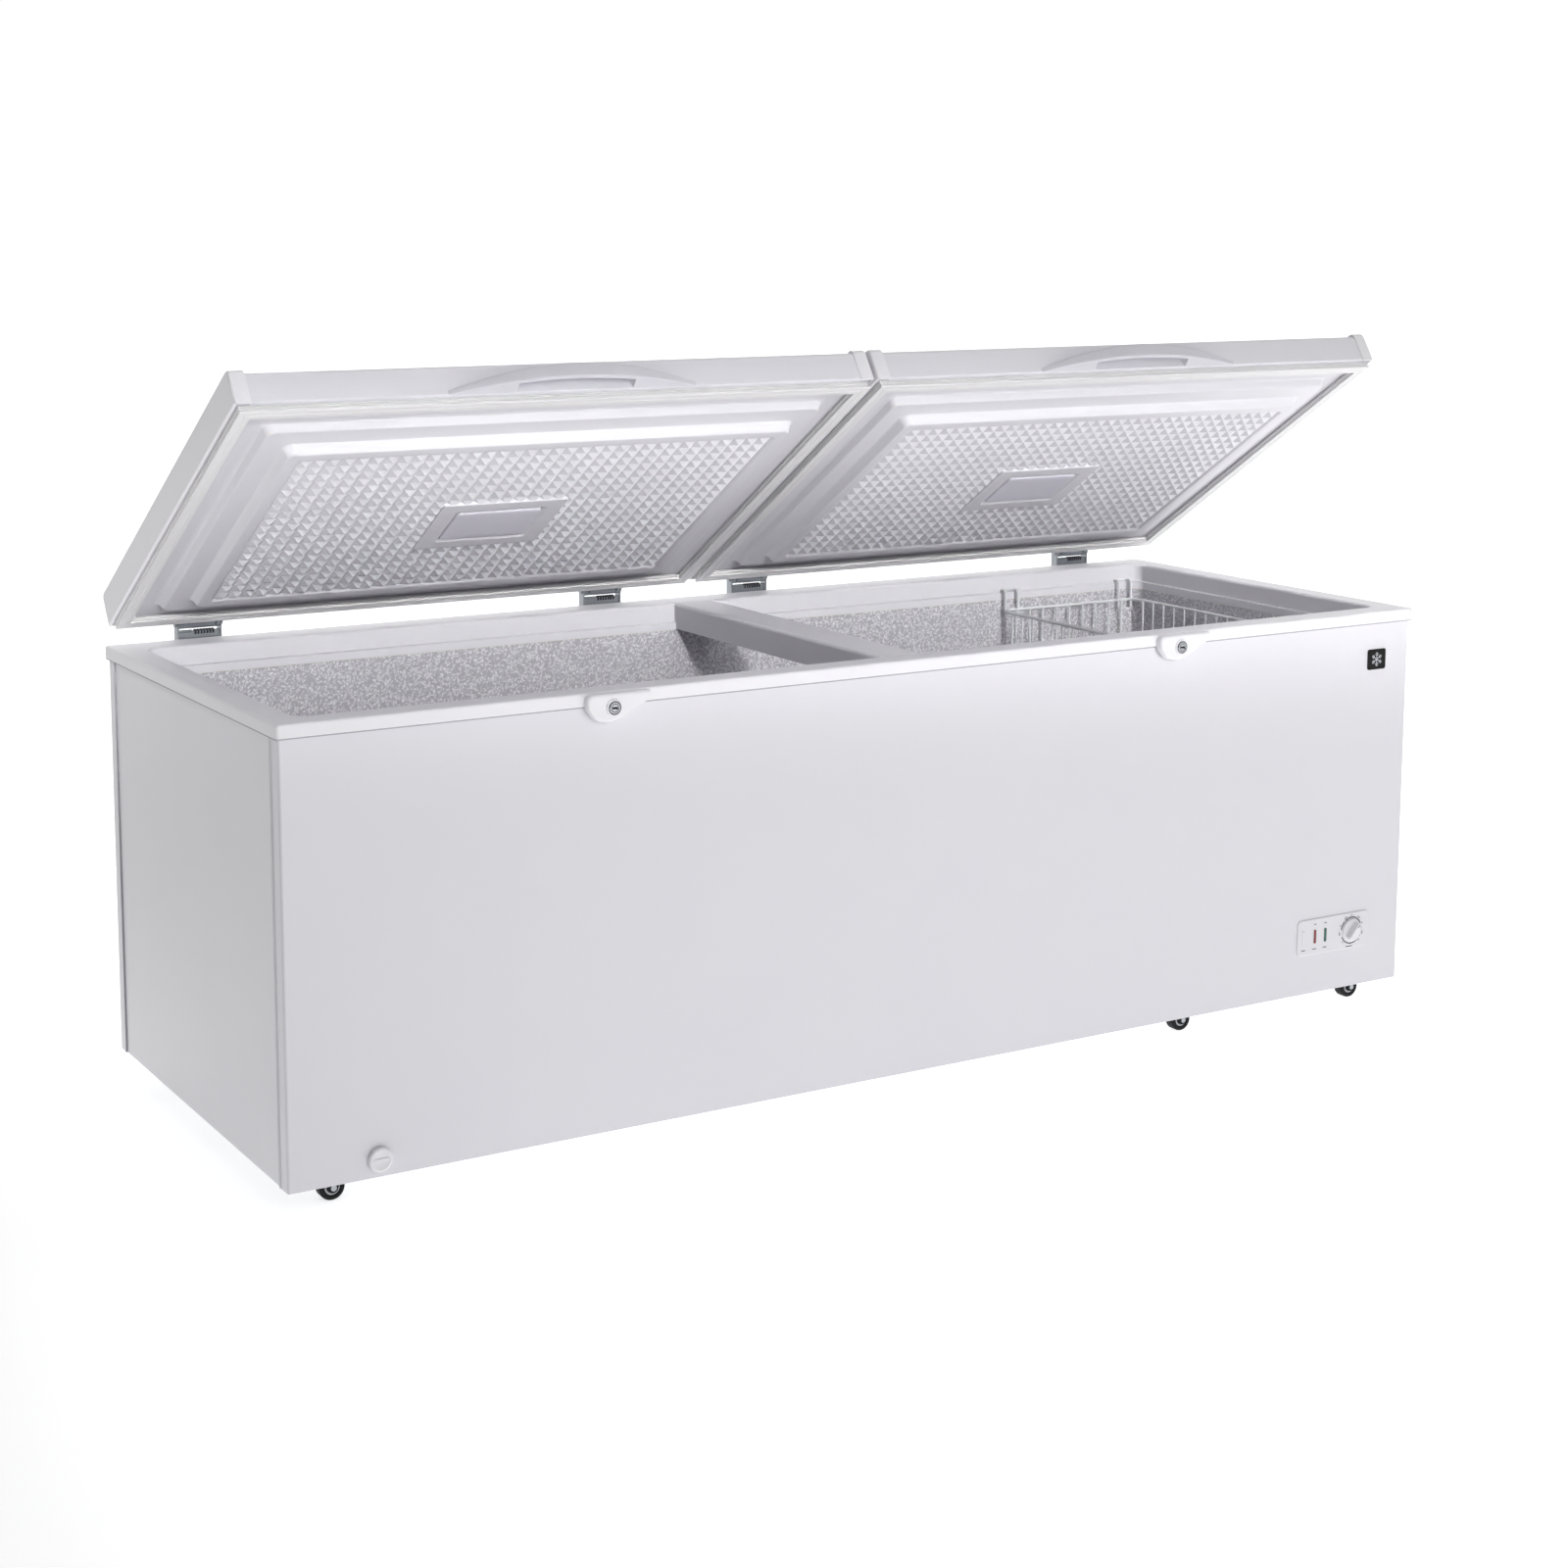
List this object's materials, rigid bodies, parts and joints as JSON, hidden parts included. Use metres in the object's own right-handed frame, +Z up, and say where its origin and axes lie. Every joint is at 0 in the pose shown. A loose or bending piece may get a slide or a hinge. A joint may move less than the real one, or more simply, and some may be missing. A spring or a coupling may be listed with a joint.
{
  "type": "chest freezer",
  "caption": "Wide white chest freezer with a pair of lids resting part open, curved front handles, wire basket, front controls and small rollers.",
  "frame": {"origin": "on the floor under the middle of the overall box", "axes": "+X to the right seen from the front, +Y to the back, +Z up; the long side runs along X"},
  "size_m": [2.116, 0.7938, 1.1859],
  "materials": {
    "painted_steel": "gloss",
    "zinc_steel": "satin",
    "foam": "matte",
    "embossed_aluminium": "satin",
    "white_abs": "satin",
    "liner_abs": "gloss",
    "gasket_vinyl": "matte",
    "lamp_lens": "gloss",
    "red_lamp": "gloss",
    "green_lamp": "gloss",
    "badge_black": "gloss",
    "grey_rubber": "matte",
    "chrome": "polished",
    "coated_wire": "gloss",
    "black_steel": "satin",
    "black_plastic": "satin"
  },
  "bodies": {
    "cabinet": {"front_panel": "painted_steel", "side_panel_left": "painted_steel", "side_panel_right": "painted_steel", "back_panel": "painted_steel", "base_pan": "zinc_steel", "compressor_tray": "zinc_steel", "insulation": "foam", "liner": "embossed_aluminium", "collar": "white_abs", "divider_beam": "white_abs", "control_panel": "white_abs", "indicator_red": "red_lamp", "indicator_green": "green_lamp", "indicator_blank": "white_abs", "badge": "badge_black", "drain_tube": "liner_abs", "lock_housing_left": "white_abs", "lock_housing_right": "white_abs", "hinge_brackets": "zinc_steel", "hinge_pins": "zinc_steel", "screws": "zinc_steel", "compressor": "black_steel", "vent_grille": "white_abs", "power_gland": "black_plastic", "roller_frames": "black_plastic", "roller_axles": "zinc_steel"},
    "lid_left": {"lid_left_shell": "painted_steel", "lid_left_end_caps": "white_abs", "lid_left_foam": "foam", "lid_left_liner": "liner_abs", "lid_left_gasket": "gasket_vinyl", "lid_left_handle": "white_abs", "lid_left_lamp_frame": "liner_abs", "lid_left_lamp_lens": "lamp_lens", "lid_left_hinge_leaves": "zinc_steel"},
    "lid_right": {"lid_right_shell": "painted_steel", "lid_right_end_caps": "white_abs", "lid_right_foam": "foam", "lid_right_liner": "liner_abs", "lid_right_gasket": "gasket_vinyl", "lid_right_handle": "white_abs", "lid_right_lamp_frame": "liner_abs", "lid_right_lamp_lens": "lamp_lens", "lid_right_hinge_leaves": "zinc_steel"},
    "basket": {"basket": "coated_wire"},
    "dial": {"dial": "white_abs"},
    "drain_cap": {"drain_cap": "white_abs"},
    "drain_plug": {"drain_plug": "grey_rubber"},
    "lock_cylinder_left": {"lock_cylinder_left": "chrome"},
    "lock_cylinder_right": {"lock_cylinder_right": "chrome"},
    "wheel_1": {"wheel_1": "black_plastic"},
    "wheel_2": {"wheel_2": "black_plastic"},
    "wheel_3": {"wheel_3": "black_plastic"},
    "wheel_4": {"wheel_4": "black_plastic"},
    "wheel_5": {"wheel_5": "black_plastic"},
    "wheel_6": {"wheel_6": "black_plastic"}
  },
  "joints": [
    {"name": "lid_left_hinge", "type": "hinge", "parent": "cabinet", "child": "lid_left", "pos_m": [-0.5305, 0.3869, 0.74], "axis": [-1, 0, 0], "range_deg": [-33, 47]},
    {"name": "lid_right_hinge", "type": "hinge", "parent": "cabinet", "child": "lid_right", "pos_m": [0.5305, 0.3869, 0.74], "axis": [-1, 0, 0], "range_deg": [-33, 47]},
    {"name": "basket_slide", "type": "slide", "parent": "cabinet", "child": "basket", "axis": [-1, 0, 0], "range_m": [0, 0.6]},
    {"name": "dial_turn", "type": "hinge", "parent": "cabinet", "child": "dial", "pos_m": [0.937, -0.3761, 0.15], "axis": [0, 1, 0], "range_deg": [0, 270]},
    {"name": "drain_cap_pull", "type": "slide", "parent": "cabinet", "child": "drain_cap", "axis": [0, -1, 0], "range_m": [0, 0.05]},
    {"name": "drain_plug_pull", "type": "slide", "parent": "cabinet", "child": "drain_plug", "axis": [0, 0, 1], "range_m": [0, 0.1]},
    {"name": "lock_left_turn", "type": "hinge", "parent": "cabinet", "child": "lock_cylinder_left", "pos_m": [-0.5405, -0.3911, 0.693], "axis": [0, 1, 0], "range_deg": [0, 90]},
    {"name": "lock_right_turn", "type": "hinge", "parent": "cabinet", "child": "lock_cylinder_right", "pos_m": [0.5205, -0.3911, 0.693], "axis": [0, 1, 0], "range_deg": [0, 90]},
    {"name": "wheel_1_spin", "type": "hinge", "parent": "cabinet", "child": "wheel_1", "pos_m": [-0.958, -0.3011, 0.02], "axis": [0, 1, 0], "continuous": true},
    {"name": "wheel_2_spin", "type": "hinge", "parent": "cabinet", "child": "wheel_2", "pos_m": [0.612, -0.3011, 0.02], "axis": [0, 1, 0], "continuous": true},
    {"name": "wheel_3_spin", "type": "hinge", "parent": "cabinet", "child": "wheel_3", "pos_m": [1.003, -0.3011, 0.02], "axis": [0, 1, 0], "continuous": true},
    {"name": "wheel_4_spin", "type": "hinge", "parent": "cabinet", "child": "wheel_4", "pos_m": [-0.958, 0.2989, 0.02], "axis": [0, 1, 0], "continuous": true},
    {"name": "wheel_5_spin", "type": "hinge", "parent": "cabinet", "child": "wheel_5", "pos_m": [0.612, 0.2989, 0.02], "axis": [0, 1, 0], "continuous": true},
    {"name": "wheel_6_spin", "type": "hinge", "parent": "cabinet", "child": "wheel_6", "pos_m": [1.003, 0.2989, 0.02], "axis": [0, 1, 0], "continuous": true}
  ]
}
